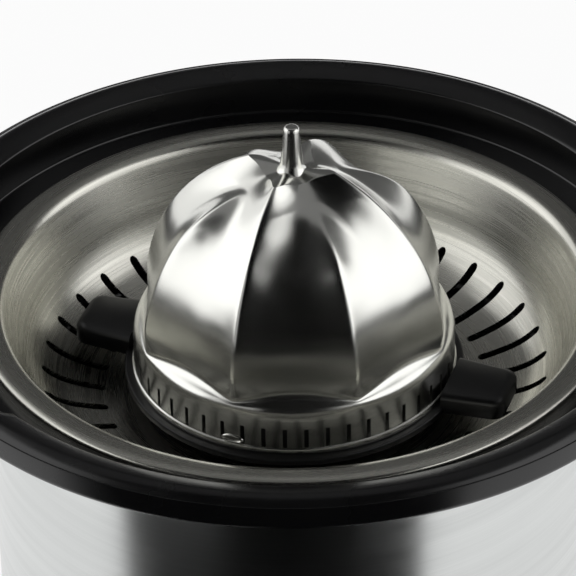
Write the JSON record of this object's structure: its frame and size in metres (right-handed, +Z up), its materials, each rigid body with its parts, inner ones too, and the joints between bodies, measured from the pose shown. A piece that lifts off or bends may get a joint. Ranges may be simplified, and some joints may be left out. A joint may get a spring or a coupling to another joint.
{
  "type": "electric citrus juicer",
  "caption": "Electric citrus juicer: ribbed steel reamer cone on a sprung spindle, slotted strainer dish, black juice bowl, flip-up drip spout and brushed steel body.",
  "frame": {"origin": "on the table under the spindle axis, at the bottom of the feet", "axes": "+Z up along the spindle, the spout at -Y, +X to the right seen from the front"},
  "size_m": [0.186, 0.186, 0.2487],
  "materials": {
    "sleeve_steel": "horizontally brushed stainless steel",
    "strainer_steel": "circularly brushed stainless steel",
    "reamer_steel": "polished stainless steel",
    "bowl_plastic": "satin black",
    "carrier_plastic": "matt black",
    "housing_plastic": "fine moulded grain",
    "rubber": "matt",
    "zinc_steel": "zinc plated",
    "lamination_steel": "stacked sheet, oiled",
    "copper_winding": "enamelled copper wire",
    "bronze": "sintered bronze",
    "gear_nylon": "natural nylon",
    "bridge_plastic": "glass filled"
  },
  "bodies": {
    "base": {"steel_sleeve": "sleeve_steel", "bottom_cover": "housing_plastic", "rubber_feet": "rubber", "tie_screws": "zinc_steel", "cord_gland": "rubber", "top_deck": "housing_plastic", "spout_duct": "housing_plastic", "drain_gasket": "rubber", "spout_pins": "zinc_steel", "motor_stator": "lamination_steel", "motor_coil": "copper_winding", "lower_bracket": "zinc_steel", "upper_bracket": "zinc_steel", "motor_bushes": "bronze", "motor_bolts": "zinc_steel", "motor_spacers": "zinc_steel", "gear_plate": "zinc_steel", "idler_axle": "zinc_steel", "spindle_bushes": "bronze", "spindle_seal": "rubber", "thrust_bridge": "bridge_plastic", "bridge_posts": "zinc_steel", "bridge_screws": "zinc_steel", "return_spring": "zinc_steel", "switch_body": "bridge_plastic"},
    "press": {"thrust_cap": "gear_nylon"},
    "spindle": {"spindle": "zinc_steel", "output_gear": "gear_nylon", "retaining_clip": "zinc_steel"},
    "idler": {"idler_gear": "gear_nylon"},
    "rotor": {"rotor_core": "lamination_steel", "rotor_shaft": "zinc_steel", "motor_pinion": "bronze", "cooling_fan": "gear_nylon"},
    "button": {"switch_button": "bridge_plastic"},
    "spout": {"drip_spout": "housing_plastic"},
    "bowl": {"juice_bowl": "bowl_plastic"},
    "strainer": {"strainer": "strainer_steel"},
    "reamer": {"reamer_cone": "reamer_steel", "centre_pin": "reamer_steel", "sweeper_carrier": "carrier_plastic"}
  },
  "joints": [
    {"name": "press_slide", "type": "slide", "parent": "base", "child": "press", "axis": [0, 0, 1], "range_m": [-0.002, 0], "stiffness_N_per_m": 2000, "springref_m": 0.004, "deforming": ["return_spring"]},
    {"name": "spindle_spin", "type": "hinge", "parent": "press", "child": "spindle", "pos_m": [0, 0, 0.124], "axis": [0, 0, 1], "continuous": true},
    {"name": "reamer_lift", "type": "slide", "parent": "spindle", "child": "reamer", "axis": [0, 0, 1], "range_m": [0, 0.24]},
    {"name": "strainer_lift", "type": "slide", "parent": "base", "child": "strainer", "axis": [0, 0, 1], "range_m": [0, 0.15]},
    {"name": "bowl_lift", "type": "slide", "parent": "base", "child": "bowl", "axis": [0, 0, 1], "range_m": [0, 0.075]},
    {"name": "idler_spin", "type": "hinge", "parent": "base", "child": "idler", "pos_m": [0, 0.03, 0.1], "axis": [0, 0, 1], "continuous": true},
    {"name": "rotor_spin", "type": "hinge", "parent": "base", "child": "rotor", "pos_m": [0, 0, 0.06], "axis": [0, 0, 1], "continuous": true},
    {"name": "button_slide", "type": "slide", "parent": "base", "child": "button", "axis": [0, 0, 1], "range_m": [-0.002, 0]},
    {"name": "spout_flip", "type": "hinge", "parent": "base", "child": "spout", "pos_m": [0, -0.077, 0.1584], "axis": [-1, 0, 0], "range_deg": [0, 60]}
  ],
  "couplings": [
    {"joint": "idler_spin", "follows": "spindle_spin", "ratio": -4},
    {"joint": "rotor_spin", "follows": "spindle_spin", "ratio": 16},
    {"joint": "strainer_lift", "follows": "reamer_lift", "ratio": 0.625},
    {"joint": "bowl_lift", "follows": "reamer_lift", "ratio": 0.3125},
    {"joint": "button_slide", "follows": "press_slide", "ratio": 1}
  ]
}
